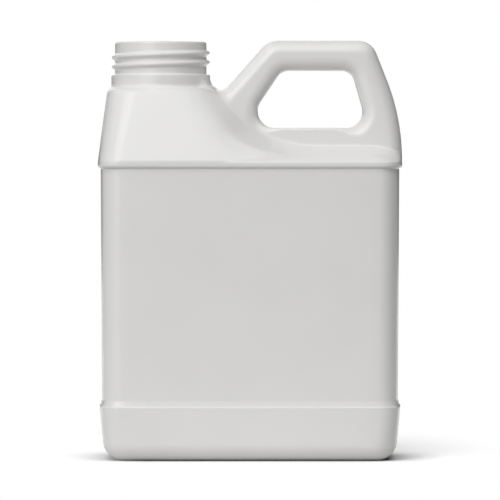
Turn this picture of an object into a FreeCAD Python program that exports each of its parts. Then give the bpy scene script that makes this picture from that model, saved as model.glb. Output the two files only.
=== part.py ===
"""F-style bottle: a blow-moulded one-piece jug, a threaded neck at one end and a hollow handle at the other.

Frame: millimetres, +Z up, X along the wide side, Y through the narrow one, origin mid-base.
The neck stands at -X, the handle at +X, and the mould halves meet in the plane Y = 0.
The outer form and the cavity come from the same functions: the cavity is one wall further in.
"""

import FreeCAD, Part
import math
import os

import Sketcher
from FreeCAD import Placement, Rotation, Vector

SIZES = {
    "body_width": 99.8,
    "body_depth": 52.0,
    "corner_round": 6.0,
    "side_bow": 1.0,
    "wall": 1.0,
    "base_round": 5.4,
    "band_height": 17.3,
    "band_inset": 0.55,
    "band_draft": 5.0,
    "strip_height": 2.2,
    "panel_height": 75.5,
    "panel_foot_inset": 1.35,
    "panel_head_inset": 0.95,
    "bead_underside": 1.1,
    "bead_height": 1.6,
    "ledge_height": 4.6,
    "ledge_corner": 4.0,
    "seat_depth": 1.0,
    "seat_rise": 0.28,
    "shoulder_height": 23.3,
    "shoulder_round": 2.2,
    "shoulder_side_margin": 1.2,
    "shoulder_front_margin": 0.7,
    "corner_growth": 3.0,
    "facet_angle": 58.4,
    "facet_foot_reach": 26.1,
    "facet_head_reach": 5.1,
    "hip_round": 12.0,
    "neck_inset": 4.4,
    "collar_diameter": 32.4,
    "collar_lift": 1.0,
    "collar_height": 3.7,
    "collar_chamfer": 0.5,
    "collar_flare": 0.8,
    "finish_diameter": 30.0,
    "finish_height": 10.7,
    "rim_round": 0.6,
    "bore_diameter": 25.4,
    "thread_depth": 1.05,
    "thread_seat": 0.3,
    "thread_pitch": 3.1,
    "thread_width": 2.3,
    "thread_crest": 0.7,
    "thread_turns": 1.72,
    "thread_lift": 2.3,
    "thread_start_angle": -205.0,
    "thread_fade": 30.0,
    "handle_thickness": 19.0,
    "handle_round": 4.6,
    "handle_flat": 0.2,
    "handle_bar": 9.8,
    "handle_height": 15.8,
    "handle_corner_round": 6.7,
    "handle_slope": 48.6,
    "handle_lean": 21.6,
    "handle_end_inset": 10.2,
    "handle_shy": 0.1,
    "handle_sweep_round": 71.0,
    "valley_width": 5.0,
    "valley_drop": 0.2,
    "valley_round": 4.0,
    "web_height": 5.9,
    "gap_left_inset": 5.8,
    "gap_left_lean": 33.9,
    "gap_right_inset": 11.1,
    "gap_right_lean": 16.1,
    "gap_foot_round": 5.5,
    "gap_head_round": 4.3,
}

# Levels above the base, each standing on the one below it.
BAND_TOP = "sizes.band_height"
STRIP_TOP = f"({BAND_TOP} + sizes.strip_height)"
BEAD_FOOT = f"({STRIP_TOP} + sizes.panel_height)"
BEAD_FULL = f"({BEAD_FOOT} + sizes.bead_underside)"
BEAD_TOP = f"({BEAD_FULL} + sizes.bead_height)"
LEDGE_TOP = f"({BEAD_TOP} + sizes.ledge_height)"
SHOULDER_TOP = f"({BEAD_TOP} + sizes.shoulder_height)"
COLLAR_FOOT = f"({SHOULDER_TOP} + sizes.collar_lift)"
COLLAR_TOP = f"({COLLAR_FOOT} + sizes.collar_height)"
NECK_TOP = f"({COLLAR_TOP} + sizes.finish_height)"
VALLEY = f"({SHOULDER_TOP} - sizes.valley_drop)"
HANDLE_TOP = f"({SHOULDER_TOP} + sizes.handle_height)"
GAP_FOOT = f"({LEDGE_TOP} + sizes.web_height)"
GAP_HEAD = f"({HANDLE_TOP} - sizes.handle_bar)"

# Places along X, from the two ends of the body.
HALF_WIDTH = "(sizes.body_width / 2)"
HALF_DEPTH = "(sizes.body_depth / 2)"
COLLAR = "(sizes.collar_diameter / 2)"
NECK_X = f"({COLLAR} + sizes.neck_inset - {HALF_WIDTH})"
COLLAR_EDGE = f"({NECK_X} + {COLLAR})"
HANDLE_START = f"({COLLAR_EDGE} + sizes.valley_width)"
HANDLE_END = f"({HALF_WIDTH} - sizes.handle_end_inset)"
GAP_LEFT = f"({HANDLE_START} + sizes.gap_left_inset)"
GAP_RIGHT = f"({HALF_WIDTH} - sizes.gap_right_inset)"

# The radius of the slightly bowed ends, and the widest rounding that the handle's bar has room for.
SIDE_RADIUS = f"((({HALF_DEPTH} - sizes.corner_round)^2 + sizes.side_bow^2) / (2 * sizes.side_bow))"
HANDLE_ROUND = "min(sizes.handle_round; sizes.handle_bar / 2 - sizes.handle_flat)"

BASE_STEPS = 6
BEAD_STEPS = 3
TOP_STEPS = 4
THREAD_STEP = 15

doc = FreeCAD.newDocument("f_style_bottle")
sheet = doc.addObject("Spreadsheet::Sheet", "sizes")
for row, (alias, number) in enumerate(SIZES.items(), start=1):
    sheet.set(f"A{row}", alias)
    sheet.set(f"B{row}", str(number))
    sheet.setAlias(f"B{row}", alias)
doc.recompute()


def number(expression):
    """The present value of an expression in the sheet's sizes."""
    return float(sheet.evalExpression(expression.replace("sizes.", "")))


def bind(sketch, kind, elements, expression):
    """Adds a driving constraint whose value follows an expression."""
    index = sketch.addConstraint(Sketcher.Constraint(kind, *elements, number(expression)))
    sketch.setExpression(f"Constraints[{index}]", expression)
    return index


def sketch_on(body, label, role, along="0", lift="0"):
    """A sketch on one of the body's origin planes, moved along and lifted off it by bound amounts."""
    sketch = body.newObject("Sketcher::SketchObject", label)
    plane = next(item for item in body.Origin.OriginFeatures if item.Role == role)
    sketch.AttachmentSupport = [(plane, "")]
    sketch.MapMode = "FlatFace"
    sketch.AttachmentOffset = Placement(Vector(number(along), 0, number(lift)), Rotation())
    sketch.setExpression("AttachmentOffset.Base.x", along)
    sketch.setExpression("AttachmentOffset.Base.z", lift)
    return sketch


def arc(centre_x, centre_y, radius, start, end):
    """A sketch arc between two angles in degrees, counter-clockwise."""
    circle = Part.Circle(Vector(centre_x, centre_y, 0), Vector(0, 0, 1), radius)
    return Part.ArcOfCircle(circle, math.radians(start), math.radians(end))


def line(start, end):
    return Part.LineSegment(Vector(*start, 0), Vector(*end, 0))


def ring_sketch(body, label, height, half_width, half_depth, corner):
    """A rounded rectangle with slightly bowed ends, all its corners and ends tangent."""
    sketch = sketch_on(body, label, "XY_Plane", lift=height)
    wide, deep, small, large = (number(item) for item in (half_width, half_depth, corner, SIDE_RADIUS))
    end_x = wide - large
    corner_y = deep - small
    corner_x = end_x + math.sqrt((large - small) ** 2 - corner_y**2)
    turn = math.degrees(math.asin(corner_y / (large - small)))
    front = sketch.addGeometry(line((-corner_x, -deep), (corner_x, -deep)))
    right_front = sketch.addGeometry(arc(corner_x, -corner_y, small, -90, -turn))
    right = sketch.addGeometry(arc(end_x, 0, large, -turn, turn))
    right_back = sketch.addGeometry(arc(corner_x, corner_y, small, turn, 90))
    back = sketch.addGeometry(line((corner_x, deep), (-corner_x, deep)))
    left_back = sketch.addGeometry(arc(-corner_x, corner_y, small, 90, 180 - turn))
    left = sketch.addGeometry(arc(-end_x, 0, large, 180 - turn, 180 + turn))
    left_front = sketch.addGeometry(arc(-corner_x, -corner_y, small, 180 + turn, 270))
    loop = [front, right_front, right, right_back, back, left_back, left, left_front]
    for first, second in zip(loop, loop[1:] + loop[:1]):
        sketch.addConstraint(Sketcher.Constraint("Tangent", first, 2, second, 1))
    for edge in (front, back):
        sketch.addConstraint(Sketcher.Constraint("Horizontal", edge))
    for edge in (right_back, left_back, left_front):
        sketch.addConstraint(Sketcher.Constraint("Equal", right_front, edge))
    sketch.addConstraint(Sketcher.Constraint("Equal", right, left))
    for edge in (right, left):
        sketch.addConstraint(Sketcher.Constraint("PointOnObject", edge, 3, -1))
    bind(sketch, "Radius", (right_front,), corner)
    bind(sketch, "Radius", (right,), SIDE_RADIUS)
    bind(sketch, "DistanceY", (-1, 1, front, 1), f"-({half_depth})")
    bind(sketch, "DistanceY", (-1, 1, back, 1), half_depth)
    bind(sketch, "DistanceX", (-1, 1, right, 3), f"{half_width} - {SIDE_RADIUS}")
    bind(sketch, "DistanceX", (-1, 1, left, 3), f"{SIDE_RADIUS} - ({half_width})")
    return sketch


def shoulder_sketch(body, label, height, left_reach, half_depth, corner, tip):
    """A section of the shoulder: square to the left, narrowing over two facets to a tip on the right."""
    sketch = sketch_on(body, label, "XY_Plane", lift=height)
    names = (left_reach, half_depth, corner, tip, SIDE_RADIUS, "sizes.hip_round", "sizes.facet_angle")
    reach, deep, small, tip_x, large, hip, facet = (number(item) for item in names)
    end_x = large - reach
    corner_y = deep - small
    corner_x = -end_x + math.sqrt((large - small) ** 2 - corner_y**2)
    turn = math.degrees(math.asin(corner_y / (large - small)))
    slope = math.radians(facet)
    hip_x = tip_x - deep / math.tan(slope)
    run = hip * math.tan(slope / 2)
    hip_end = (hip_x + run * math.cos(slope), -deep + run * math.sin(slope))
    front = sketch.addGeometry(line((-corner_x, -deep), (hip_x - run, -deep)))
    front_hip = sketch.addGeometry(arc(hip_x - run, -deep + hip, hip, -90, -90 + facet))
    front_facet = sketch.addGeometry(line(hip_end, (tip_x, 0)))
    back_facet = sketch.addGeometry(line((tip_x, 0), (hip_end[0], -hip_end[1])))
    back_hip = sketch.addGeometry(arc(hip_x - run, deep - hip, hip, 90 - facet, 90))
    back = sketch.addGeometry(line((hip_x - run, deep), (-corner_x, deep)))
    left_back = sketch.addGeometry(arc(-corner_x, corner_y, small, 90, 180 - turn))
    left = sketch.addGeometry(arc(end_x, 0, large, 180 - turn, 180 + turn))
    left_front = sketch.addGeometry(arc(-corner_x, -corner_y, small, 180 + turn, 270))
    loop = [back_facet, back_hip, back, left_back, left, left_front, front, front_hip, front_facet]
    for first, second in zip(loop, loop[1:]):
        sketch.addConstraint(Sketcher.Constraint("Tangent", first, 2, second, 1))
    sketch.addConstraint(Sketcher.Constraint("Coincident", front_facet, 2, back_facet, 1))
    for edge in (front, back):
        sketch.addConstraint(Sketcher.Constraint("Horizontal", edge))
    sketch.addConstraint(Sketcher.Constraint("Equal", left_back, left_front))
    sketch.addConstraint(Sketcher.Constraint("Equal", front_hip, back_hip))
    sketch.addConstraint(Sketcher.Constraint("PointOnObject", left, 3, -1))
    sketch.addConstraint(Sketcher.Constraint("PointOnObject", front_facet, 2, -1))
    bind(sketch, "Radius", (left_back,), corner)
    bind(sketch, "Radius", (left,), SIDE_RADIUS)
    bind(sketch, "Radius", (front_hip,), "sizes.hip_round")
    bind(sketch, "Angle", (front_facet,), "sizes.facet_angle")
    bind(sketch, "Angle", (back_facet,), "180 - sizes.facet_angle")
    bind(sketch, "DistanceY", (-1, 1, front, 1), f"-({half_depth})")
    bind(sketch, "DistanceY", (-1, 1, back, 1), half_depth)
    bind(sketch, "DistanceX", (-1, 1, left, 3), f"{SIDE_RADIUS} - ({left_reach})")
    bind(sketch, "DistanceX", (-1, 1, front_facet, 2), tip)
    return sketch


def loft(body, label, sections, ruled=True):
    """A solid through the sections, from the lowest to the highest, with straight or with smooth sides."""
    solid = body.newObject("PartDesign::AdditiveLoft", label)
    solid.Profile = sections[0]
    solid.Sections = sections[1:]
    solid.Ruled = ruled
    doc.recompute()
    return solid


def fillet(body, label, base, chosen, radius):
    """Rounds the chosen edges of the body's last feature by a bound radius."""
    feature = body.newObject("PartDesign::Fillet", label)
    names = [f"Edge{index}" for index, edge in enumerate(base.Shape.Edges, start=1) if chosen(edge)]
    feature.Base = (base, names)
    feature.Radius = number(radius)
    feature.setExpression("Radius", radius)
    base.Visibility = False
    doc.recompute()
    return feature


def lower_body(prefix, inset):
    """From the base up: rounded foot, drafted band, sloped strip, panel, bead and the ledge on top."""
    body = doc.addObject("PartDesign::Body", f"{prefix}_lower")

    def ring(name, height, shy, corner="sizes.corner_round"):
        half_width = f"{HALF_WIDTH} - {inset} - ({shy})"
        half_depth = f"{HALF_DEPTH} - {inset} - ({shy})"
        label = f"{prefix}_{name}_ring"
        return ring_sketch(body, label, height, half_width, half_depth, f"{corner} - {inset}")

    base_rings = []
    for step in range(BASE_STEPS + 1):
        turn = 90 * step / BASE_STEPS
        lift = f"sizes.base_round * (1 - cos({turn}))"
        round_in = f"(sizes.base_round - {inset}) * (1 - sin({turn}))"
        draft_in = f"({BAND_TOP} - {lift}) * tan(sizes.band_draft)"
        height = f"{inset} + (sizes.base_round - {inset}) * (1 - cos({turn}))"
        shy = f"sizes.band_inset + {draft_in} + {round_in}"
        base_rings.append(ring(f"base_{step}", height, shy, f"sizes.corner_round - {round_in}"))
    loft(body, f"{prefix}_base_loft", base_rings, ruled=False)
    rings = [
        ring("draft", "sizes.base_round", f"sizes.band_inset + {draft_in}"),
        ring("band", BAND_TOP, "sizes.band_inset"),
        ring("strip", STRIP_TOP, "sizes.panel_foot_inset"),
    ]
    for step in range(BEAD_STEPS + 1):
        turn = 90 * step / BEAD_STEPS
        height = f"{BEAD_FOOT} + sizes.bead_underside * (1 - cos({turn}))"
        rings.append(ring(f"bead_{step}", height, f"sizes.panel_head_inset * (1 - sin({turn}))"))
    rings.append(ring("bead_top", BEAD_TOP, "0"))
    roof = f"{LEDGE_TOP} + sizes.seat_depth * sizes.seat_rise"
    end = f"{HALF_WIDTH} - {inset} - sizes.seat_depth"
    web = f"sizes.handle_thickness / 2 - {inset} - sizes.seat_depth"
    rings.append(ring_sketch(body, f"{prefix}_ledge_ring", roof, end, web, "sizes.ledge_corner"))
    return loft(body, f"{prefix}_lower_loft", rings)


def shoulder(prefix, inset):
    """The mass that carries the neck: it leans in from the bead and has two facets to the handle."""
    body = doc.addObject("PartDesign::Body", f"{prefix}_shoulder")
    side_lean = f"({HALF_WIDTH} + {NECK_X} - {COLLAR} - sizes.shoulder_side_margin)"
    front_lean = f"({HALF_DEPTH} - {COLLAR} - sizes.shoulder_front_margin)"
    facet_lean = "(sizes.facet_foot_reach - sizes.facet_head_reach)"
    slope = f"atan({front_lean} / sizes.shoulder_height)"

    def section(name, height, rise, shy):
        """One section at a share of the way up, drawn in a little more where the top edge is rounded."""
        return shoulder_sketch(
            body,
            f"{prefix}_shoulder_{name}",
            height,
            f"{HALF_WIDTH} - {inset} - {rise} * {side_lean} - {shy}",
            f"{HALF_DEPTH} - {inset} - {rise} * {front_lean} - {shy}",
            f"sizes.corner_round - {inset} + {rise} * sizes.corner_growth - {shy}",
            f"{COLLAR_EDGE} + sizes.facet_foot_reach - {rise} * {facet_lean}"
            f" - ({inset} + {shy}) / sin(sizes.facet_angle)",
        )

    edge_round = f"(sizes.shoulder_round - {inset})"
    rise = f"(1 - {edge_round} * (1 - sin({slope})) / sizes.shoulder_height)"
    top_rings = []
    for step in range(TOP_STEPS + 1):
        turn = f"({slope} + (90 deg - {slope}) * {step} / {TOP_STEPS})"
        height = f"{SHOULDER_TOP} - {inset} - {edge_round} * (1 - sin({turn}))"
        shy = f"{edge_round} * (cos({slope}) - cos({turn}))"
        top_rings.append(section(f"top_{step}", height, rise, shy))
    loft(body, f"{prefix}_shoulder_loft", [section("foot", BEAD_TOP, "0", "0"), top_rings[0]])
    return loft(body, f"{prefix}_shoulder_round", top_rings)


def corner_points():
    """The corners of the handle's outline and of its gap in the plane Y = 0, as pairs of expressions."""
    side = f"({HALF_WIDTH} - sizes.handle_shy)"
    foot = f"({BEAD_FULL} + sizes.handle_shy)"
    bend = f"({HANDLE_TOP} - ({side} - {HANDLE_END}) / tan(sizes.handle_lean))"
    climb = f"({HANDLE_TOP} - {VALLEY})"
    tall = f"({GAP_HEAD} - {GAP_FOOT})"
    outline = [
        (NECK_X, foot),
        (side, foot),
        (side, bend),
        (HANDLE_END, HANDLE_TOP),
        (f"{HANDLE_START} + {climb} / tan(sizes.handle_slope)", HANDLE_TOP),
        (HANDLE_START, VALLEY),
        (NECK_X, VALLEY),
    ]
    gap = [
        (GAP_LEFT, GAP_FOOT),
        (GAP_RIGHT, GAP_FOOT),
        (f"{GAP_RIGHT} - {tall} * tan(sizes.gap_right_lean)", GAP_HEAD),
        (f"{GAP_LEFT} + {tall} * tan(sizes.gap_left_lean)", GAP_HEAD),
    ]
    return outline, gap


def moved_in(corners, distance):
    """The corners of a polygon whose sides are all moved to the left of their direction by a distance."""
    moved = []
    for index, corner in enumerate(corners):
        before = corners[index - 1]
        after = corners[(index + 1) % len(corners)]
        back = Vector(corner[0] - before[0], corner[1] - before[1], 0).normalize()
        ahead = Vector(after[0] - corner[0], after[1] - corner[1], 0).normalize()
        bisector = Vector(-back.y - ahead.y, back.x + ahead.x, 0)
        shift = bisector * (2 * distance / bisector.Length**2)
        moved.append((corner[0] + shift.x, corner[1] + shift.y))
    return moved


def offset_polygon(sketch, corners, inset, side):
    """A polygon with bound corners, moved in (side 1) or out (-1) by the inset; returns its corners."""
    guide = [(number(x), number(y)) for x, y in corners]
    real = moved_in(guide, side * number(inset))
    drawn = []
    for points in (guide, real):
        ends = points[1:] + points[:1]
        edges = [sketch.addGeometry(line(start, end), points is guide) for start, end in zip(points, ends)]
        for first, second in zip(edges, edges[1:] + edges[:1]):
            sketch.addConstraint(Sketcher.Constraint("Coincident", first, 2, second, 1))
        drawn.append(edges)
    for edge, (x, y) in zip(drawn[0], corners):
        bind(sketch, "DistanceX", (-1, 1, edge, 1), x)
        bind(sketch, "DistanceY", (-1, 1, edge, 1), y)
    for guide_edge, edge in zip(*drawn):
        if number(inset) == 0:
            sketch.addConstraint(Sketcher.Constraint("Coincident", edge, 1, guide_edge, 1))
        else:
            sketch.addConstraint(Sketcher.Constraint("Parallel", edge, guide_edge))
            bind(sketch, "Distance", (edge, 1, guide_edge), inset)
    return real


def handle(prefix, inset):
    """The flat handle with its web and gap: a slab on the mould's parting plane, its edges rounded."""
    body = doc.addObject("PartDesign::Body", f"{prefix}_handle")
    sketch = sketch_on(body, f"{prefix}_handle_outline", "XZ_Plane")
    outline, gap = corner_points()
    rim = offset_polygon(sketch, outline, inset, 1)
    hole = offset_polygon(sketch, gap, inset, -1)
    doc.recompute()
    solid = body.newObject("PartDesign::Pad", f"{prefix}_handle_slab")
    solid.Profile = sketch
    solid.Midplane = True
    solid.Length = number(f"sizes.handle_thickness - 2 * {inset}")
    solid.setExpression("Length", f"sizes.handle_thickness - 2 * {inset}")
    doc.recompute()
    corners = [
        ("sweep", rim[2], f"sizes.handle_sweep_round - {inset}"),
        ("end", rim[3], f"sizes.handle_corner_round - {inset}"),
        ("start", rim[4], f"sizes.handle_corner_round - {inset}"),
        ("valley", rim[5], f"sizes.valley_round + {inset}"),
        ("gap_foot_left", hole[0], f"sizes.gap_foot_round + {inset}"),
        ("gap_foot_right", hole[1], f"sizes.gap_foot_round + {inset}"),
        ("gap_head_right", hole[2], f"sizes.gap_head_round + {inset}"),
        ("gap_head_left", hole[3], f"sizes.gap_head_round + {inset}"),
    ]
    for name, (x, z), radius in corners:

        def at_corner(edge):
            middle = edge.CenterOfMass
            return abs(middle.x - x) < 0.01 and abs(middle.z - z) < 0.01 and abs(middle.y) < 0.01

        solid = fillet(body, f"{prefix}_{name}_round", solid, at_corner, radius)
    face = number(f"sizes.handle_thickness / 2 - {inset}")
    low = number(f"{BEAD_FULL} + sizes.handle_shy + {inset}")
    left = number(f"{NECK_X} + {inset}")

    def along_rim(edge):
        box = edge.BoundBox
        on_face = abs(abs(box.YMin) - face) < 0.01 and box.YLength < 0.01
        return on_face and box.ZMax > low + 0.01 and box.XMax > left + 0.01

    return fillet(body, f"{prefix}_handle_round", solid, along_rim, f"{HANDLE_ROUND} - {inset}")


def form(prefix, inset):
    """The whole closed form below the neck, one inset further in than the outside."""
    pieces = [lower_body(prefix, inset), shoulder(prefix, inset), handle(prefix, inset)]
    joined = doc.addObject("Part::MultiFuse", f"{prefix}_form")
    joined.Shapes = [piece.getParentGeoFeatureGroup() for piece in pieces]
    doc.recompute()
    return joined


def neck():
    """The collar and the finish above it, turned about the neck's own axis."""
    body = doc.addObject("PartDesign::Body", "neck")
    sketch = sketch_on(body, "neck_profile", "XZ_Plane", along=NECK_X)
    finish = "sizes.finish_diameter / 2"
    root = f"{SHOULDER_TOP} - sizes.wall"
    corners = [
        ("0", root),
        (f"{COLLAR} + sizes.collar_flare", root),
        (f"{COLLAR} + sizes.collar_flare", f"{SHOULDER_TOP} - sizes.collar_flare / 2"),
        (COLLAR, COLLAR_FOOT),
        (COLLAR, f"{COLLAR_TOP} - sizes.collar_chamfer"),
        (f"{COLLAR} - sizes.collar_chamfer", COLLAR_TOP),
        (finish, COLLAR_TOP),
        (finish, NECK_TOP),
        ("0", NECK_TOP),
    ]
    offset_polygon(sketch, corners, "0", 1)
    doc.recompute()
    solid = body.newObject("PartDesign::Revolution", "neck_turned")
    solid.Profile = sketch
    solid.ReferenceAxis = (sketch, ["V_Axis"])
    solid.Angle = 360
    doc.recompute()
    top = number(NECK_TOP)

    def at_rim(edge):
        return edge.BoundBox.ZMin > top - 0.01 and edge.BoundBox.XLength > 1

    fillet(body, "neck_rim_round", solid, at_rim, "sizes.rim_round")
    return body


def thread():
    """The right-handed thread: one ridge swept along a helix that sinks into the finish at both ends."""
    axis = number(NECK_X)
    finish = number("sizes.finish_diameter / 2")
    depth = number("sizes.thread_depth")
    sunk = number("sizes.thread_seat")
    foot = number(f"{COLLAR_TOP} + sizes.thread_lift")
    pitch = number("sizes.thread_pitch")
    start = number("sizes.thread_start_angle")
    sweep = 360 * number("sizes.thread_turns")
    steps = round(sweep / THREAD_STEP)
    fade_steps = number("sizes.thread_fade") / THREAD_STEP

    def point(step):
        turned = sweep * step / steps
        angle = math.radians(start + turned)
        shown = min(1.0, step / fade_steps, (steps - step) / fade_steps)
        reach = finish - (depth + sunk) * (1 - math.sin(math.pi / 2 * shown))
        return Vector(axis + reach * math.cos(angle), reach * math.sin(angle), foot + pitch * turned / 360)

    path = Part.BSplineCurve()
    path.interpolate([point(step) for step in range(steps + 1)])
    first = point(0)
    outward = Vector(first.x - axis, first.y, 0).normalize()
    up = Vector(0, 0, 1)
    half_foot = number("sizes.thread_width / 2")
    half_crest = number("sizes.thread_crest / 2")
    corners = [
        first - outward * sunk - up * half_foot,
        first - up * half_foot,
        first + outward * depth - up * half_crest,
        first + outward * depth + up * half_crest,
        first + up * half_foot,
        first - outward * sunk + up * half_foot,
    ]
    pipe = Part.BRepOffsetAPI.MakePipeShell(Part.Wire(path.toShape()))
    pipe.setBiNormalMode(up)
    pipe.add(Part.makePolygon(corners + corners[:1]))
    pipe.build()
    pipe.makeSolid()
    ridge = doc.addObject("Part::Feature", "thread")
    ridge.Shape = pipe.shape()
    return ridge


def bore():
    """The way in: a straight hole from above the rim down into the cavity."""
    hole = doc.addObject("Part::Cylinder", "bore")
    hole.setExpression("Radius", "sizes.bore_diameter / 2")
    hole.setExpression("Height", f"{NECK_TOP} - {SHOULDER_TOP} + 3 * sizes.wall")
    hole.setExpression("Placement.Base.x", NECK_X)
    hole.setExpression("Placement.Base.z", f"{SHOULDER_TOP} - 2 * sizes.wall")
    return hole


def bottle():
    """The outside with its neck and thread, less the cavity and the bore."""
    outside = doc.addObject("Part::MultiFuse", "outside")
    outside.Shapes = [form("outer", "0"), neck(), thread()]
    inside = doc.addObject("Part::MultiFuse", "inside")
    inside.Shapes = [form("cavity", "sizes.wall"), bore()]
    whole = doc.addObject("Part::Cut", "bottle")
    whole.Base = outside
    whole.Tool = inside
    doc.recompute()
    return whole


def write(pieces):
    """Stops at any failed object or bad shape, then writes each piece to its own file."""
    for item in doc.Objects:
        if "Invalid" in item.State or "Error" in item.State:
            raise RuntimeError(f"{item.Label} failed: {item.State}")
        if item.TypeId == "Sketcher::SketchObject" and not item.FullyConstrained:
            raise RuntimeError(f"{item.Label} is not fully constrained")
    for piece in pieces:
        if piece.Shape.isNull() or not piece.Shape.isValid() or len(piece.Shape.Solids) != 1:
            raise RuntimeError(f"{piece.Label} is not one valid solid")
    os.makedirs("parts", exist_ok=True)
    for piece in pieces:
        piece.Shape.exportStep(f"parts/{piece.Label}.step")
        box = piece.Shape.optimalBoundingBox()
        print(piece.Label, "volume", round(piece.Shape.Volume), "mm3, box", box)


write([bottle()])
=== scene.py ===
"""Looks of an F-style bottle in white polyethylene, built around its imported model.

The bottle is one closed skin. Its upper part, with soft hips and valleys, is meshed from one field
of blended shapes, outside and in. The straight body below it, the inner wall of that body and the
round neck above are rings that join onto it. Lengths are millimetres until the mesh is made; the
camera, the lamps, the floor and the plastic's grain are in metres. X runs along the wide side with
the neck at -X, the front looks to -Y, and Z is up.
"""
import math

import bmesh
import bpy
import numpy as np
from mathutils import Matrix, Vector


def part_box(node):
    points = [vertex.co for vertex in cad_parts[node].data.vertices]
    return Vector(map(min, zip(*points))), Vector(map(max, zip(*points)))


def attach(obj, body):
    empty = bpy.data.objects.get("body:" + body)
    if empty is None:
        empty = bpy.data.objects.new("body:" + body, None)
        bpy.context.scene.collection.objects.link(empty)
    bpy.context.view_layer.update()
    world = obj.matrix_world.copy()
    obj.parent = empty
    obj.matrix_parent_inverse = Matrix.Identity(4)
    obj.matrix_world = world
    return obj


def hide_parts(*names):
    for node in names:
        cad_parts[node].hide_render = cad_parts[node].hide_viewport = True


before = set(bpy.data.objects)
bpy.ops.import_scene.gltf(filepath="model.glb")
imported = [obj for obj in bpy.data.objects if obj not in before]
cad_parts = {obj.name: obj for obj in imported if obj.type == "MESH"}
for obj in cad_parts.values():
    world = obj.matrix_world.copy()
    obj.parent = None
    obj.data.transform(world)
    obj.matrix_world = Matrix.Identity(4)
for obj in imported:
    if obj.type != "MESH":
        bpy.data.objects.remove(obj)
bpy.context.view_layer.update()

BODY = "root"
BOTTLE_NODE = "bottle"
MM = 0.001

# Camera
EYE = (0.0, -1.7, 0.0944)
TARGET = (0.0, 0.0, 0.06813)
SENSOR = 36.0
LENS = 372.6
CLIP_START, CLIP_END = 0.05, 20.0

# Lamps: name, azimuth, elevation, power
LAMPS = [
    ("low_left_lamp", -32, 18, 5.6),
    ("left_lamp", -30, 43, 7.2),
    ("front_lamp", 0, 47, 4.7),
    ("right_back_lamp", 120, 50, 1.5),
    ("right_lamp", 50, 66, 3.8),
    ("left_edge_lamp", -95, 50, 2.2),
    ("back_lamp", 190, 24, 3.4),
]
LAMP_SIZE, LAMP_DISTANCE = 1.0, 1.5
AMBIENT = 0.1

# Floor: the tone it throws back on the bottle, near and far, then what the camera sees of it, with
# painted shade close round the bottle
FLOOR_HALF = 3.0
SHADE_NEAR, SHADE_FAR = 0.03, 0.16
NEAR_TONE, FAR_TONE = 0.75, 0.42
WHITE_FROM, WHITE_TO = 0.12, 0.25
WHITE_STRETCH, WHITE_SHIFT = (3.0, 1.0, 1.0), (-0.015, 0.0, 0.0)
# Painted shade on the seen floor: how far round the bottle it reaches, the floor tone it darkens,
# and its samples
PAINTED_SHADE_REACH, PAINTED_SHADE_TONE, PAINTED_SHADE_SAMPLES = 0.018, 1.5, 8

# Plastic: tones, roughness, and noise scales per metre. The roughness stays on one side of 0.27,
# because patches show where it crosses that value.
TONE_LOW, TONE_HIGH = (0.780, 0.774, 0.763), (0.820, 0.814, 0.804)
ROUGH_LOW, ROUGH_HIGH = 0.2, 0.265
DRIFT_SCALE, DRIFT_DETAIL = 45.0, 2.0
SHEEN_SCALE, SHEEN_DETAIL = 110.0, 1.0
GRAIN_SCALE, GRAIN_DETAIL, GRAIN_HEIGHT = 600.0, 1.0, 0.000008

# Body
HALF_WIDTH, HALF_DEPTH, HANDLE_TOP = Vector(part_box(BOTTLE_NODE)[1]) / MM
WALL = 1.0
CORNER, LEAST_CORNER = 6.0, 0.6
SIDE_BOW, SIDE_BOW_RADIUS = 1.0, 200.5
BASE_ROUND = 5.4
BAND_TOP, BAND_INSET, BAND_DRAFT = 17.35, 0.55, 5.0
BAND_ROUND, LIP, LIP_ROUND = 0.3, 0.35, 0.4
STRIP_TOP, STRIP_FOOT_INSET, STRIP_ROUND = 19.5, 1.35, 1.6
BEAD_FOOT, BEAD_ROUND_UP, BEAD_INSET, BEAD_UNDERCUT = 95.0, 0.95, 0.95, 0.45
BEAD_TOP = 97.2
EDGE_ROUND, SHOULDER_EDGE_ROUND = 0.5, 1.1
ROOF_CORNER_GROWTH, ROOF_CORNER_RISE = 6.0, 2.5
ROOF_TOP, ROOF_DEPTH, ROOF_END = 102.6, 8.5, 48.9
INNER_BEAD_TOP, INNER_BEAD_FOOT = 95.7, 94.6

# Shoulder
SHOULDER_TOP, SHOULDER_DEPTH, SHOULDER_END = 121.0, 16.9, 46.7
SHOULDER_ROUND = 2.2
CORNER_GROWTH = 3.0
FACET_FOOT, FACET_HEAD, FACET_ANGLE = 20.8, -2.6, 47.0
FACET_FLARE, FACET_FLARE_RISE = 0.03, 11.0
HIP_ROUND = 16.0

# Handle
SLAB = 9.5
SLAB_ROUND = 4.6
HANDLE_SIDE = 49.8
HANDLE_END, HANDLE_LEAN, SWEEP_ROUND = 39.7, 21.6, 71.0
HANDLE_START, HANDLE_SLOPE, HANDLE_CORNER = -8.1, 48.6, 6.7
SADDLE = 120.8
GAP_FOOT, GAP_HEAD = 108.2, 127.0
GAP_LEFT, GAP_LEFT_LEAN = -2.3, 33.9
GAP_RIGHT, GAP_RIGHT_LEAN = 38.8, 16.1
GAP_FOOT_ROUND, GAP_HEAD_ROUND = 5.5, 4.3

# Neck
NECK_X = -29.3
COLLAR, COLLAR_FOOT, COLLAR_TOP, COLLAR_CHAMFER = 16.2, 122.0, 125.7, 0.5
FLARE, FLARE_ROUND = 0.8, 0.7
FINISH, FINISH_FOOT_ROUND, FINISH_TOP, RIM_ROUND = 15.0, 0.35, 136.4, 0.6
BORE, BORE_REACH = 12.7, 6.0
THREAD_DEPTH, THREAD_PITCH, THREAD_MIDDLE = 1.05, 3.1, 128.2
THREAD_CREST_HALF, THREAD_FOOT_HALF = 0.2, 1.2
THREAD_FROM, THREAD_TO, THREAD_FADE = -205.0, 414.0, 30.0

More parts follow.
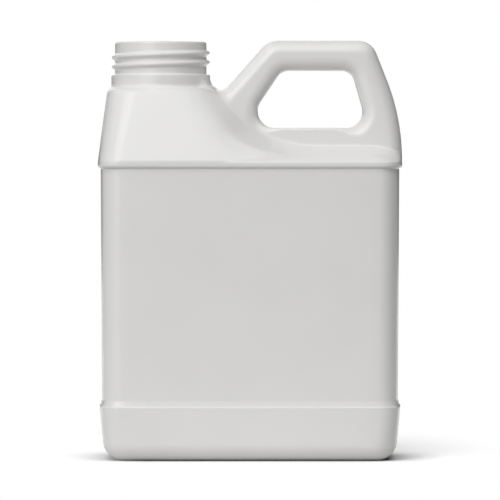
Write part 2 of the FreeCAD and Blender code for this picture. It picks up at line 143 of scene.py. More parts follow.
# Blends between the upper parts. Each pair of places is where a blend starts and where it is full;
# a cosine is that of the angle between the normals of the two surfaces.
LEAST_ROUND = 0.1
ROOF_VALLEY_ROUND, ROOF_VALLEY_COSINE = 26.0, 0.7
ROOF_VALLEY_X, ROOF_VALLEY_DEPTH = (-24.0, -8.0), (0.0, 6.0)
VALLEY_ROUND, WEB_FILLET, WEB_X = 4.0, 0.9, (-2.0, 7.0)
HANDLE_COSINE, HANDLE_END_FADE = 0.38, (0.5, 4.5)
SADDLE_ROUND, SADDLE_COSINE = 8.0, 0.28
SADDLE_Z, SADDLE_Y = (114.0, 120.0), (4.0, 8.0)
SADDLE_DROP, SADDLE_DROP_X = 1.3, (-16.0, -9.0)
GAP_SILL_ROUND, SILL_ENDS, SILL_RISE = 0.7, (2.0, 13.0), 4.0
SADDLE_FLARE, FLARE_COSINE = 3.8, 0.5
FLARE_X, FLARE_Y = (9.0, 14.0), (8.0, 13.0)

# Mesh: cell sizes, the heights where nets meet rings, and the gaps that triangles bridge there
SKIN_CELL, INNER_CELL = 0.6, 1.5
CUT_LOW, CUT_NECK, NECK_SIDE = 96.5, 123.6, -10.5
RING_GAP, COLLAR_GAP, BORE_GAP = 0.3, 0.35, 0.6
NET_SPARE, NET_SPARE_LOW, NECK_KEPT = 2.0, (2.03, 2.01), 0.4
GRADIENT_STEP, LEAST_SQUARE, LONGEST_MOVE = 0.02, 0.05, 0.6
OUTLINE_STEP = 0.01
SETTLE_ROUNDS, OUTLINE_ROUNDS = 3, 6
RELAX_ROUNDS, RELAX_SHARE = 4, 0.5
BAND_HEIGHT, NECK_STEP, THREAD_STEP = 6.0, 1.0, 0.26
BORE_MARGIN, COLLAR_MARGIN = 0.8, 0.2
NECK_POINTS = 220
FOOT_SHARES = (0.85, 0.5)


def smooth(low, high, value):
    """0 below the low value, 1 above the high one, and a soft rise between."""
    t = np.clip((value - low) / (high - low), 0, 1)
    return t * t * (3 - 2 * t)


def meet(a, b, radius, alike=0.0):
    """What lies inside both, with the edge between them rounded.

    The last value is the cosine of the angle between their normals.
    """
    u, v = a + radius, b + radius
    spread = 1 - alike**2
    curved = np.sqrt(np.maximum(u * u + v * v - 2 * alike * u * v, 0) / spread) - radius
    return np.where((u > alike * v) & (v > alike * u), curved, np.maximum(a, b))


def join(a, b, radius, alike=0.0):
    """What lies inside either, with the valley between them filled."""
    return -meet(-a, -b, radius, alike)


def sine(degrees):
    return math.sin(math.radians(degrees))


def cosine(degrees):
    return math.cos(math.radians(degrees))


def tangent(degrees):
    return math.tan(math.radians(degrees))


def plan(x, y, half_width, half_depth, corner):
    """Distance to the body's outline, and how much its nearest side faces front or back."""
    side = np.hypot(np.abs(x) + SIDE_BOW_RADIUS - half_width, y) - SIDE_BOW_RADIUS
    front = np.abs(y) - half_depth
    u, v = np.maximum(side + corner, 0), np.maximum(front + corner, 0)
    reach = np.hypot(u, v)
    facing = np.where(reach > 0, v / np.maximum(reach, 1e-9), (front > side).astype(float))
    return reach + np.minimum(np.maximum(side, front) + corner, 0) - corner, facing


def eased(height, start, slope, radius):
    """How far a wall that leans in by the slope from the start has come in, with a rounded bend."""
    turn = math.atan(slope)
    reach = radius * math.tan(turn / 2)
    rise = np.clip(height - (start - reach), 0, radius * math.sin(turn))
    bend = radius - np.sqrt(radius**2 - rise**2)
    straight = height > start - reach + radius * math.sin(turn)
    return np.where(straight, slope * (height - start), bend)


ROOF_SLOPE = (HALF_DEPTH - ROOF_DEPTH) / (ROOF_TOP - BEAD_TOP)
ROOF_END_SLOPE = (HALF_WIDTH - ROOF_END) / (ROOF_TOP - BEAD_TOP)
SHOULDER_RISE = SHOULDER_TOP - BEAD_TOP
FRONT_LEAN = math.atan((HALF_DEPTH - SHOULDER_DEPTH) / SHOULDER_RISE)
END_LEAN = math.atan((HALF_WIDTH - SHOULDER_END) / SHOULDER_RISE)


def roofed_body(x, y, z):
    """The straight body under its sloping roof."""
    front_in = eased(z, BEAD_TOP, ROOF_SLOPE, EDGE_ROUND)
    end_in = eased(z, BEAD_TOP, ROOF_END_SLOPE, EDGE_ROUND)
    corner = CORNER + ROOF_CORNER_GROWTH * smooth(0, ROOF_CORNER_RISE, z - BEAD_TOP)
    flat, facing = plan(x, y, HALF_WIDTH - end_in, HALF_DEPTH - front_in, corner)
    slope = np.where(z > BEAD_TOP, ROOF_SLOPE, 0) * facing
    return flat / np.sqrt(1 + slope**2)


def shoulder(x, y, z):
    """The mass under the neck: its walls lean in, and two facets fall away to the handle."""
    rise = z - BEAD_TOP
    front_in = eased(z, BEAD_TOP, math.tan(FRONT_LEAN), SHOULDER_EDGE_ROUND)
    end_in = eased(z, BEAD_TOP, math.tan(END_LEAN), SHOULDER_EDGE_ROUND)
    grown = CORNER + CORNER_GROWTH * np.clip(rise / SHOULDER_RISE, 0, 1)
    end = np.hypot(-x + SIDE_BOW_RADIUS - HALF_WIDTH + end_in, y) - SIDE_BOW_RADIUS
    front = (np.abs(y) - HALF_DEPTH + front_in) * math.cos(FRONT_LEAN)
    walls = meet(end * math.cos(END_LEAN), front, grown)
    across, along = sine(FACET_ANGLE), cosine(FACET_ANGLE)
    below = np.maximum(FACET_FLARE_RISE - np.maximum(rise, 0), 0)
    steady = (FACET_FOOT - FACET_HEAD) / SHOULDER_RISE
    edge = FACET_FOOT - steady * rise + FACET_FLARE * below**2
    fall = steady + 2 * FACET_FLARE * below
    length = np.sqrt(1 + (across * fall) ** 2)
    facet = (across * (x - edge) + along * np.abs(y)) / length
    fold = (along * math.cos(FRONT_LEAN) + across * fall * math.sin(FRONT_LEAN)) / length
    mass = meet(walls, facet, HIP_ROUND, fold)
    top = SHOULDER_TOP - SADDLE_DROP * smooth(*SADDLE_DROP_X, x)
    return meet(mass, z - top, SHOULDER_ROUND, math.sin(FRONT_LEAN))


def handle_outline(x, z):
    side = x - HANDLE_SIDE
    sweep = (x - HANDLE_END) * cosine(HANDLE_LEAN) + (z - HANDLE_TOP) * sine(HANDLE_LEAN)
    right = meet(side, sweep, SWEEP_ROUND, cosine(HANDLE_LEAN))
    climb = (HANDLE_START - x) * sine(HANDLE_SLOPE) + (z - SADDLE) * cosine(HANDLE_SLOPE)
    topped = meet(right, z - HANDLE_TOP, HANDLE_CORNER, sine(HANDLE_LEAN))
    left = meet(topped, climb, HANDLE_CORNER, cosine(HANDLE_SLOPE))
    return np.maximum(left, NECK_X - x)


def handle_gap(x, z):
    left = (GAP_LEFT - x) * cosine(GAP_LEFT_LEAN) + (z - GAP_FOOT) * sine(GAP_LEFT_LEAN)
    right = (x - GAP_RIGHT) * cosine(GAP_RIGHT_LEAN) + (z - GAP_FOOT) * sine(GAP_RIGHT_LEAN)
    gap = meet(GAP_FOOT - z, left, GAP_FOOT_ROUND, -sine(GAP_LEFT_LEAN))
    gap = meet(gap, right, GAP_FOOT_ROUND, -sine(GAP_RIGHT_LEAN))
    head = z - GAP_HEAD
    return np.maximum(
        np.maximum(gap, meet(head, left, GAP_HEAD_ROUND, sine(GAP_LEFT_LEAN))),
        meet(head, right, GAP_HEAD_ROUND, sine(GAP_RIGHT_LEAN)),
    )


def handle(x, y, z):
    """A slab across the bottle, rounded all along its outline."""
    return meet(np.abs(y) - SLAB, handle_outline(x, z), SLAB_ROUND)


def collar(x, y, z):
    """The neck's collar, which flares into the shoulder."""
    out = np.hypot(x - NECK_X, y)
    length = math.hypot(1, FLARE)
    cone = ((out - COLLAR) + FLARE * (z - COLLAR_FOOT)) / length
    cone = np.maximum(cone, out - COLLAR - FLARE)
    return join(out - COLLAR, cone, FLARE_ROUND, 1 / length)


def skin(p):
    """Signed distance to the upper part, near enough: below 0 is plastic or inside."""
    x, y, z = p[..., 0], p[..., 1], p[..., 2]
    depth = np.abs(y)

    soft = smooth(*ROOF_VALLEY_DEPTH, HALF_DEPTH - depth) * smooth(*ROOF_VALLEY_X, x)
    valley = LEAST_ROUND + ROOF_VALLEY_ROUND * soft
    body = join(shoulder(x, y, z), roofed_body(x, y, z), valley, ROOF_VALLEY_COSINE)

    # The handle melts into the shoulder, most of all at the saddle, and stands sharper on the roof
    near = 1 - smooth(*WEB_X, x)
    high = smooth(*SADDLE_Z, z) * (1 - smooth(*SADDLE_Y, depth))
    fillet = VALLEY_ROUND + (SADDLE_ROUND - VALLEY_ROUND) * high
    fillet = WEB_FILLET + (fillet - WEB_FILLET) * near
    fillet = LEAST_ROUND + (fillet - LEAST_ROUND) * smooth(*HANDLE_END_FADE, HANDLE_SIDE - x)
    body = join(body, handle(x, y, z), fillet, HANDLE_COSINE + SADDLE_COSINE * high)

    # The gap is rounded like the slab, but for its sill
    start, full = SILL_ENDS
    sill = smooth(GAP_LEFT + start, GAP_LEFT + full, x)
    sill = sill * (1 - smooth(GAP_RIGHT - full, GAP_RIGHT - start, x))
    sill = sill * (1 - smooth(GAP_FOOT, GAP_FOOT + SILL_RISE, z))
    gap_round = SLAB_ROUND + (GAP_SILL_ROUND - SLAB_ROUND) * sill
    body = meet(body, -handle_gap(x, z), gap_round)

    # The collar's flare grows towards the saddle
    toward = smooth(*FLARE_X, x - NECK_X) * (1 - smooth(*FLARE_Y, depth))
    flare = FLARE_ROUND + SADDLE_FLARE * toward
    body = join(body, collar(x, y, z), flare, FLARE_COSINE * (1 - toward))
    return np.maximum(body, plan(x, y, HALF_WIDTH, HALF_DEPTH, CORNER)[0])


def cavity(p):
    """The room inside, a wall in from the skin, with the bore through the neck."""
    bore = np.hypot(p[..., 0] - NECK_X, p[..., 1]) - BORE
    return np.minimum(skin(p) + WALL, np.maximum(bore, SHOULDER_TOP - BORE_REACH - p[..., 2]))


def slope_of(field, p):
    """The field's gradient at the points."""
    found = np.empty_like(p)
    for axis in range(3):
        shift = np.zeros(3)
        shift[axis] = GRADIENT_STEP
        found[:, axis] = (field(p + shift) - field(p - shift)) / (2 * GRADIENT_STEP)
    return found


def settle(field, p, level):
    """Moves points onto the field's surface. Those with a level stay at that height."""
    held = ~np.isnan(level)
    for _ in range(SETTLE_ROUNDS):
        slope = slope_of(field, p)
        slope[held, 2] = 0
        square = np.maximum((slope**2).sum(1), LEAST_SQUARE)
        p = p - slope * np.clip(field(p) / square, -LONGEST_MOVE, LONGEST_MOVE)[:, None]
    return p


def net(field, low, high, cell, keep):
    """Points and quads on the field's surface, a point in each kept cell that it crosses."""
    sides = [np.arange(a, b + cell, cell) for a, b in zip(low, high)]
    grid = np.stack(np.meshgrid(*sides, indexing="ij"), -1)
    value = np.empty(grid.shape[:3])
    for layer in range(grid.shape[0]):
        value[layer] = field(grid[layer])

    # Each cell's point is the middle of where its edges cross the surface
    size = np.array(value.shape) - 1
    total, count = np.zeros((*size, 3)), np.zeros(size)
    for axis in range(3):
        ends = [slice(None)] * 3
        starts = [slice(None)] * 3
        starts[axis], ends[axis] = slice(None, -1), slice(1, None)
        a, b = value[tuple(starts)], value[tuple(ends)]
        crossed = (a < 0) != (b < 0)
        share = np.where(crossed, a / np.where(crossed, a - b, 1), 0)
        place = grid[tuple(starts)].copy()
        place[..., axis] += share * cell
        place *= crossed[..., None]
        other = [k for k in range(3) if k != axis]
        for i in (0, 1):
            for j in (0, 1):
                part = [slice(None)] * 3
                part[other[0]] = slice(i, i + size[other[0]])
                part[other[1]] = slice(j, j + size[other[1]])
                total += place[tuple(part)]
                count += crossed[tuple(part)]
    middle = np.stack(np.meshgrid(*[s[:-1] + cell / 2 for s in sides], indexing="ij"), -1)
    used = (count > 0) & keep(middle)
    index = np.full(used.shape, -1)
    index[used] = np.arange(used.sum())
    points = total[used] / count[used][:, None]

    # Each crossed edge inside the grid joins the points of the four cells around it
    quads = []
    for axis in range(3):
        other = [k for k in range(3) if k != axis]
        inner = [slice(1, -1)] * 3
        inner[axis] = slice(None, -1)
        after = list(inner)
        after[axis] = slice(1, None)
        a, b = value[tuple(inner)], value[tuple(after)]
        around = []
        for i, j in ((0, 0), (1, 0), (1, 1), (0, 1)):
            part = [slice(None)] * 3
            part[other[0]] = slice(i, i + value.shape[other[0]] - 2)
            part[other[1]] = slice(j, j + value.shape[other[1]] - 2)
            around.append(index[tuple(part)])
        around = np.stack(around, -1)
        crossed = ((a < 0) != (b < 0)) & (around >= 0).all(-1)
        found = around[crossed]
        turn = (a < 0)[crossed] != (axis == 1)
        found[~turn] = found[~turn][:, ::-1]
        quads.append(found)
    return points, np.concatenate(quads)


def edges_of(quads):
    return np.concatenate([quads[:, [k, (k + 1) % 4]] for k in range(4)])


def rims(quads):
    """The open edges of a mesh, as loops of points."""
    # A dictionary keeps the order, which a set would not
    directed = dict.fromkeys(map(tuple, edges_of(quads).tolist()))
    after = {a: b for a, b in directed if (b, a) not in directed}
    loops = []
    while after:
        first, following = after.popitem()
        loop = [first]
        while following != first:
            loop.append(following)
            following = after.pop(following)
        loops.append(loop)
    return loops


def relax(field, points, quads, level):
    """Evens out the net along the surface."""
    edges = np.unique(np.sort(edges_of(quads), axis=1), axis=0)
    one, two = edges.T
    degree = np.bincount(edges.ravel(), minlength=len(points))[:, None]
    held = ~np.isnan(level)
    for _ in range(RELAX_ROUNDS):
        total = np.zeros_like(points)
        for axis in range(3):
            total[:, axis] += np.bincount(one, points[two, axis], len(points))
            total[:, axis] += np.bincount(two, points[one, axis], len(points))
        moved = points + RELAX_SHARE * (total / np.maximum(degree, 1) - points)
        moved[held] = points[held]
        points = settle(field, moved, level)
    return points


class Skin:
    """Points and faces, put together part by part."""

    def __init__(self):
        self.points, self.faces = [], []

    def add(self, points, faces=()):
        """Adds points and the faces between them, and says where they start."""
        start = len(self.points)
        self.points.extend(map(tuple, np.asarray(points).tolist()))
        self.faces.extend([start + k for k in face] for face in faces)
        return start

    def ring(self, points):
        start = self.add(points)
        return list(range(start, start + len(points)))

    def band(self, low, high):
        """Quads between two rings of the same count."""
        for k in range(len(low)):
            n = (k + 1) % len(low)
            self.faces.append([low[k], low[n], high[n], high[k]])

    def stack(self, rings):
        """Bands through rings from one to the next. Gives the first ring and the last."""
        placed = [self.ring(ring) for ring in rings]
        for one, two in zip(placed, placed[1:]):
            self.band(one, two)
        return placed[0], placed[-1]

    def fill(self, ring):
        """A flat foot inside a ring round the middle."""
        outer = np.array([self.points[k] for k in ring])
        for share in FOOT_SHARES:
            smaller = outer.copy()
            smaller[:, :2] *= share
            inner = self.ring(smaller)
            self.band(ring, inner)
            ring = inner
        centre = self.add([(0, 0, outer[0, 2])])
        for k in range(len(ring)):
            self.faces.append([ring[k], ring[(k + 1) % len(ring)], centre])

    def around(self, loop, centre):
        """A loop and its angles, turned to run the same way from the same side."""
        x, y = centre
        angle = [math.atan2(self.points[k][1] - y, self.points[k][0] - x) for k in loop]
        start = int(np.argmin(angle))
        loop, angle = loop[start:] + loop[:start], angle[start:] + angle[:start]
        if angle[1] > angle[-1]:
            loop, angle = [loop[0]] + loop[:0:-1], [angle[0]] + angle[:0:-1]
        return loop, angle

    def stitch(self, one, two, centre):
        """Triangles between two loops of any counts that run round the same centre."""
        a, angle_a = self.around(one, centre)
        b, angle_b = self.around(two, centre)

        def ahead(angles, k):
            """The angle of the point after this one, on through the turns."""
            if k == len(angles):
                return math.inf
            turns, place = divmod(k + 1, len(angles))
            return angles[place] + 2 * math.pi * turns

        i = j = 0
        while i < len(a) or j < len(b):
            here_a, here_b = a[i % len(a)], b[j % len(b)]
            if ahead(angle_a, i) <= ahead(angle_b, j):
                i += 1
                self.faces.append([here_a, a[i % len(a)], here_b])
            else:
                j += 1
                self.faces.append([here_a, b[j % len(b)], here_b])


def rounded_path(corners, steps):
    """A path through corners given as (across, up, radius), each bent round its radius."""
    path = [np.array(corners[0][:2])]
    for before, corner, after in zip(corners, corners[1:], corners[2:]):
        here, radius = np.array(corner[:2]), corner[2]
        back = np.array(before[:2]) - here
        ahead = np.array(after[:2]) - here
        back, ahead = back / np.hypot(*back), ahead / np.hypot(*ahead)
        half = math.acos(np.clip(back @ ahead, -1, 1)) / 2
        reach = radius / math.tan(half)
        middle = back + ahead
        centre = here + middle / np.hypot(*middle) * radius / math.sin(half)
        start, end = here + back * reach - centre, here + ahead * reach - centre
        turn = math.pi - 2 * half
        for k in range(steps + 1):
            share = k / steps
            arm = math.sin((1 - share) * turn) * start + math.sin(share * turn) * end
            path.append(centre + arm / math.sin(turn))
    path.append(np.array(corners[-1][:2]))
    return path


def outline_ring(inset, height, corner, per_corner, per_front, per_side):
    """Points round the body at a height, drawn in by the inset."""
    half_width, half_depth = HALF_WIDTH - inset, HALF_DEPTH - inset

    def on_corner(quarter, turn):
        """The point at a turn, in quarters, round the corner in a quarter."""
        x = (half_width - corner - SIDE_BOW) * (1 if quarter in (0, 3) else -1)
        y = (half_depth - corner) * (1 if quarter in (0, 1) else -1)
        angle = math.pi / 2 * turn
        return x + corner * math.cos(angle), y + corner * math.sin(angle)

    points = []
    for quarter in range(4):
        points += [on_corner(quarter, quarter + k / per_corner) for k in range(per_corner + 1)]
        begin, end = points[-1], on_corner((quarter + 1) % 4, quarter + 1)
        count = per_front if quarter in (0, 2) else per_side
        for k in range(1, count):
            points.append(tuple(a + (b - a) * k / count for a, b in zip(begin, end)))

    def outline(x, y):
        return plan(x, y, half_width, half_depth, corner)[0]

    p = np.array(points)
    for _ in range(OUTLINE_ROUNDS):
        x, y = p.T
        value = outline(x, y)
        along = outline(x + OUTLINE_STEP, y) - value, outline(x, y + OUTLINE_STEP) - value
        slope = np.stack(along, -1) / OUTLINE_STEP
        p = p - slope * (value / np.maximum((slope**2).sum(1), LEAST_SQUARE))[:, None]
    return np.column_stack([p, np.full(len(p), height)])


def base_levels(base_round, inset, height, corner, steps):
    """Levels round the base's edge as (inset, height, corner): the band's draft, then the round."""
    levels = []
    for k in range(steps + 1):
        turn = 90 * k / steps
        up = height + base_round * (1 - sine(turn))
        drawn = base_round * (1 - cosine(turn))
        drafted = inset + (BAND_TOP - up) * tangent(BAND_DRAFT)
        levels.append((drafted + drawn, up, max(corner - drawn, LEAST_CORNER)))
    return levels


def outer_rings(bead_steps=6, path_steps=5, base_steps=10):
    """The straight body's rings from the bead down to the foot."""
    levels = [(0.0, CUT_LOW - RING_GAP, CORNER)]
    for k in range(bead_steps + 1):
        turn = 90 * (1 - k / bead_steps)
        up = BEAD_FOOT + BEAD_ROUND_UP * (1 - cosine(turn))
        levels.append((BEAD_INSET * (1 - sine(turn)), up, CORNER))
    base_top = BAND_INSET + (BAND_TOP - BASE_ROUND) * tangent(BAND_DRAFT)
    path = rounded_path(
        [
            (BEAD_INSET, BEAD_FOOT - BEAD_UNDERCUT, 0),
            (STRIP_FOOT_INSET, STRIP_TOP, STRIP_ROUND),
            (BAND_INSET + LIP, BAND_TOP + LIP, LIP_ROUND),
            (BAND_INSET, BAND_TOP, BAND_ROUND),
            (base_top, BASE_ROUND, 0),
        ],
        path_steps,
    )
    for (inset, up), (next_inset, next_up) in zip(path, path[1:]):
        parts = max(1, round(abs(up - next_up) / BAND_HEIGHT))
        for k in range(parts):
            share = k / parts
            drawn = inset + (next_inset - inset) * share
            levels.append((drawn, up + (next_up - up) * share, CORNER))
    levels += base_levels(BASE_ROUND, BAND_INSET, 0.0, CORNER, base_steps)
    return [outline_ring(*level, per_corner=14, per_front=22, per_side=16) for level in levels]


def inner_rings(base_steps=5):
    """The straight body's rings on the inside, with fewer points."""
    corner = CORNER - WALL
    levels = [
        (WALL, CUT_LOW - RING_GAP, corner),
        (WALL, INNER_BEAD_TOP, corner),
        (WALL + BEAD_INSET, INNER_BEAD_FOOT, corner),
        (WALL + STRIP_FOOT_INSET, STRIP_TOP, corner),
        (WALL + BAND_INSET, BAND_TOP, corner),
    ]
    levels += base_levels(BASE_ROUND - WALL, WALL + BAND_INSET, WALL, corner, base_steps)
    return [outline_ring(*level, per_corner=6, per_front=10, per_side=6) for level in levels]


def thread_out(angle, height):
    """How far the thread stands out of the neck at an angle in degrees and a height."""
    out = np.zeros_like(height)
    for turn in (-1, 0, 1, 2):
        along = angle + 360 * turn
        centre = THREAD_MIDDLE + THREAD_PITCH * (along + 180) / 360
        begun = smooth(THREAD_FROM, THREAD_FROM + THREAD_FADE, along)
        ended = smooth(THREAD_TO - THREAD_FADE, THREAD_TO, along)
        shape = 1 - smooth(THREAD_CREST_HALF, THREAD_FOOT_HALF, np.abs(height - centre))
        out = np.maximum(out, THREAD_DEPTH * (begun * (1 - ended)) * shape)
    return out


def neck_rings(path_steps=4):
    """The neck's rings, up the outside, over the rim and down the bore."""
    path = rounded_path(
        [
            (COLLAR, CUT_NECK + COLLAR_GAP, 0),
            (COLLAR, COLLAR_TOP, COLLAR_CHAMFER),
            (FINISH, COLLAR_TOP, FINISH_FOOT_ROUND),
            (FINISH, FINISH_TOP, RIM_ROUND),
            (BORE, FINISH_TOP, RIM_ROUND),
            (BORE, SHOULDER_TOP + BORE_GAP, 0),
        ],
        path_steps,
    )
    fine = []
    for (out, up), (next_out, next_up) in zip(path, path[1:]):
        length = math.hypot(out - next_out, up - next_up)
        threaded = out > BORE + BORE_MARGIN and min(up, next_up) > COLLAR_TOP - COLLAR_MARGIN
        parts = max(1, round(length / (THREAD_STEP if threaded else NECK_STEP)))
        for k in range(parts):
            fine.append((out + (next_out - out) * k / parts, up + (next_up - up) * k / parts))
    fine.append(tuple(path[-1]))

    angle = np.arange(NECK_POINTS) * 360 / NECK_POINTS - 180
    east, north = np.cos(np.radians(angle)), np.sin(np.radians(angle))
    rings = []
    for radius, up in fine:
        level = np.full(NECK_POINTS, up)
        on_finish = math.isclose(radius, FINISH)
        out = radius + (thread_out(angle, level) if on_finish else 0)
        rings.append(np.column_stack([NECK_X + out * east, out * north, level]))
    return rings


def add_upper_part(made, field, cell, neck_cut, inside):
    """Adds the upper part of a field's surface. Gives its two rims, at the body and at the neck."""
    corner = (-HALF_WIDTH - NET_SPARE_LOW[0], -HALF_DEPTH - NET_SPARE_LOW[1], CUT_LOW - cell / 2)
    far_corner = (HALF_WIDTH + NET_SPARE, HALF_DEPTH + NET_SPARE, HANDLE_TOP + NET_SPARE)

    def below_neck(p):
        return ~((p[..., 2] > neck_cut + cell * NECK_KEPT) & (p[..., 0] < NECK_SIDE))

    points, quads = net(field, corner, far_corner, cell, below_neck)
    body_rim, neck_rim = sorted(rims(quads), key=len, reverse=True)[:2]
    level = np.full(len(points), np.nan)
    level[body_rim] = CUT_LOW
    level[neck_rim] = neck_cut
    held = ~np.isnan(level)
    points[held, 2] = level[held]
    points = settle(field, points, level)
    points = relax(field, points, quads, level)
    if inside:
        quads = quads[:, ::-1]
    start = made.add(points, quads)
    return [start + k for k in body_rim], [start + k for k in neck_rim]


def make_bottle():
    made = Skin()
    body_rim, neck_rim = add_upper_part(made, skin, SKIN_CELL, CUT_NECK, False)
    inner_cut = SHOULDER_TOP - RING_GAP
    inner_body_rim, inner_neck_rim = add_upper_part(made, cavity, INNER_CELL, inner_cut, True)
    for rim, rings in ((body_rim, outer_rings()), (inner_body_rim, inner_rings())):
        first, last = made.stack(rings)
        made.stitch(rim, first, (0, 0))
        made.fill(last)
    first, last = made.stack(neck_rings())
    made.stitch(neck_rim, first, (NECK_X, 0))
    made.stitch(last, inner_neck_rim, (NECK_X, 0))

    mesh = bpy.data.meshes.new("bottle_skin")
    mesh.from_pydata([tuple(c * MM for c in p) for p in made.points], [], made.faces)
    work = bmesh.new()
    work.from_mesh(mesh)
    bmesh.ops.recalc_face_normals(work, faces=work.faces)
    for face in work.faces:
        face.smooth = True
    work.to_mesh(mesh)
    work.free()
    piece = bpy.data.objects.new("bottle_skin", mesh)
    bpy.context.scene.collection.objects.link(piece)
    return piece


def add_camera():
    """A long lens a little above the middle of the bottle."""
    data = bpy.data.cameras.new("camera")
    data.lens = LENS
    data.sensor_width = SENSOR
    data.clip_start = CLIP_START
    data.clip_end = CLIP_END
    camera = bpy.data.objects.new("camera", data)
    camera.location = EYE
    away = Vector(TARGET) - Vector(EYE)
    camera.rotation_euler = away.to_track_quat("-Z", "Y").to_euler()
    bpy.context.scene.collection.objects.link(camera)
    bpy.context.scene.camera = camera


def add_lamp(name, azimuth, elevation, power):
    """A soft box aimed at the bottle's middle. Azimuth 0 is in front, and -90 on the left."""
    data = bpy.data.lights.new(name, "AREA")
    data.shape = "SQUARE"
    data.size = LAMP_SIZE
    data.energy = power
    lamp = bpy.data.objects.new(name, data)
    level = cosine(elevation)
    away = Vector((sine(azimuth) * level, -cosine(azimuth) * level, sine(elevation)))
    lamp.location = Vector(TARGET) + away * LAMP_DISTANCE
    lamp.rotation_euler = away.to_track_quat("Z", "Y").to_euler()
    bpy.context.scene.collection.objects.link(lamp)


def add_node(tree, kind, values=None):
    """A node with the given values on its own sockets."""
    made = tree.nodes.new(kind)
    for socket, value in (values or {}).items():
        made.inputs[socket].default_value = value
    return made


def add_world():
    """A plain surround: white where the camera sees it, and a soft even light on the bottle."""
    world = bpy.data.worlds.new("surround")
    bpy.context.scene.world = world
    world.use_nodes = True
    tree = world.node_tree
    tree.nodes.clear()
    link = tree.links.new
    white = (1, 1, 1, 1)
    out = add_node(tree, "ShaderNodeOutputWorld")
    path = add_node(tree, "ShaderNodeLightPath")
    soft = add_node(tree, "ShaderNodeBackground", {"Color": white, "Strength": AMBIENT})
    seen = add_node(tree, "ShaderNodeBackground", {"Color": white, "Strength": 1.0})
    mix = add_node(tree, "ShaderNodeMixShader")
    link(path.outputs["Is Camera Ray"], mix.inputs["Fac"])
    link(soft.outputs["Background"], mix.inputs[1])
    link(seen.outputs["Background"], mix.inputs[2])
    link(mix.outputs["Shader"], out.inputs["Surface"])


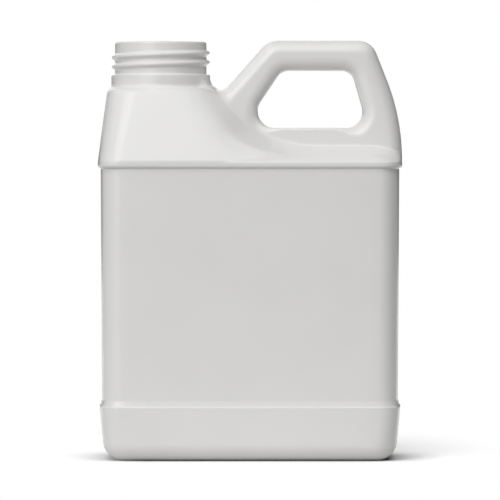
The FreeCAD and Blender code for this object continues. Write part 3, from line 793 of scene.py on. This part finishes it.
def pale_floor():
    """Matte where it lights the bottle. Where seen, it keeps the shadow, is darkened close round
    the bottle as painted shade, and fades to white.
    """
    material = bpy.data.materials.new("pale_floor")
    material.use_nodes = True
    tree = material.node_tree
    tree.nodes.clear()
    link = tree.links.new

    def vector_math(operation, values=None):
        made = add_node(tree, "ShaderNodeVectorMath", values)
        made.operation = operation
        return made

    def largest(one, two):
        made = add_node(tree, "ShaderNodeMath")
        made.operation = "MAXIMUM"
        link(one, made.inputs[0])
        link(two, made.inputs[1])
        return made.outputs[0]

    def mixed(share, one, two):
        made = add_node(tree, "ShaderNodeMixShader")
        link(share, made.inputs["Fac"])
        link(one, made.inputs[1])
        link(two, made.inputs[2])
        return made.outputs[0]

    # Seen by the camera, or in or through something shiny or clear
    path = add_node(tree, "ShaderNodeLightPath").outputs
    seen = largest(
        largest(path["Is Camera Ray"], path["Is Glossy Ray"]), path["Is Transmission Ray"]
    )
    place = add_node(tree, "ShaderNodeTexCoord").outputs["Object"]

    reach = vector_math("LENGTH")
    link(place, reach.inputs[0])
    tone = {"From Min": SHADE_NEAR, "From Max": SHADE_FAR, "To Min": NEAR_TONE, "To Max": FAR_TONE}
    shade = add_node(tree, "ShaderNodeMapRange", tone)
    link(reach.outputs["Value"], shade.inputs["Value"])
    matte = add_node(tree, "ShaderNodeBsdfDiffuse")
    link(shade.outputs["Result"], matte.inputs["Color"])

    # Painted shade: where seen, the floor's colour is darkened by how much the bottle hides it,
    # within a short reach
    painted_shade_values = {"Distance": PAINTED_SHADE_REACH, "Color": (PAINTED_SHADE_TONE, PAINTED_SHADE_TONE, PAINTED_SHADE_TONE, 1)}
    painted_shade = add_node(tree, "ShaderNodeAmbientOcclusion", painted_shade_values)
    painted_shade.samples = PAINTED_SHADE_SAMPLES
    painted_shade_matte = add_node(tree, "ShaderNodeBsdfDiffuse")
    link(painted_shade.outputs["Color"], painted_shade_matte.inputs["Color"])
    near = mixed(seen, matte.outputs[0], painted_shade_matte.outputs[0])

    stretched = vector_math("MULTIPLY_ADD", {1: WHITE_STRETCH, 2: WHITE_SHIFT})
    link(place, stretched.inputs[0])
    spread = vector_math("LENGTH")
    link(stretched.outputs["Vector"], spread.inputs[0])
    fade = add_node(tree, "ShaderNodeMapRange", {"From Min": WHITE_FROM, "From Max": WHITE_TO})
    link(spread.outputs["Value"], fade.inputs["Value"])
    share = add_node(tree, "ShaderNodeMath")
    share.operation = "MULTIPLY"
    link(fade.outputs["Result"], share.inputs[0])
    link(seen, share.inputs[1])
    glow = add_node(tree, "ShaderNodeEmission", {"Color": (1, 1, 1, 1), "Strength": 1.0})

    out = add_node(tree, "ShaderNodeOutputMaterial")
    link(mixed(share.outputs[0], near, glow.outputs[0]), out.inputs["Surface"])
    return material


def add_floor():
    """A pale floor that keeps the bottle's shadow, with painted shade close round it, and goes on
    as plain white where it is seen.
    """
    half = FLOOR_HALF
    corners = [(-half, -half, 0), (half, -half, 0), (half, half, 0), (-half, half, 0)]
    mesh = bpy.data.meshes.new("floor")
    mesh.from_pydata(corners, [], [(0, 1, 2, 3)])
    mesh.materials.append(pale_floor())
    floor = bpy.data.objects.new("floor", mesh)
    bpy.context.scene.collection.objects.link(floor)


def plastic():
    """White polyethylene: satin, with a faint grain and slow drifts in tone and gloss."""
    material = bpy.data.materials.new("white_polyethylene")
    material.use_nodes = True
    tree = material.node_tree
    link = tree.links.new
    shader = tree.nodes["Principled BSDF"]
    place = add_node(tree, "ShaderNodeTexCoord")

    def noise(scale, detail):
        made = add_node(tree, "ShaderNodeTexNoise", {"Scale": scale, "Detail": detail})
        link(place.outputs["Object"], made.inputs["Vector"])
        return made.outputs["Fac"]

    tone = add_node(tree, "ShaderNodeValToRGB")
    tone.color_ramp.elements[0].color = (*TONE_LOW, 1)
    tone.color_ramp.elements[1].color = (*TONE_HIGH, 1)
    link(noise(DRIFT_SCALE, DRIFT_DETAIL), tone.inputs["Fac"])
    link(tone.outputs["Color"], shader.inputs["Base Color"])

    gloss = add_node(tree, "ShaderNodeMapRange", {"To Min": ROUGH_LOW, "To Max": ROUGH_HIGH})
    link(noise(SHEEN_SCALE, SHEEN_DETAIL), gloss.inputs["Value"])
    link(gloss.outputs["Result"], shader.inputs["Roughness"])

    grain = add_node(tree, "ShaderNodeBump", {"Strength": 1.0, "Distance": GRAIN_HEIGHT})
    link(noise(GRAIN_SCALE, GRAIN_DETAIL), grain.inputs["Height"])
    link(grain.outputs["Normal"], shader.inputs["Normal"])
    return material


add_camera()
add_world()
add_floor()
for lamp in LAMPS:
    add_lamp(*lamp)

bottle = make_bottle()
bottle.data.materials.append(plastic())
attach(bottle, BODY)
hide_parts(BOTTLE_NODE)

bpy.context.scene.view_settings.view_transform = "Standard"
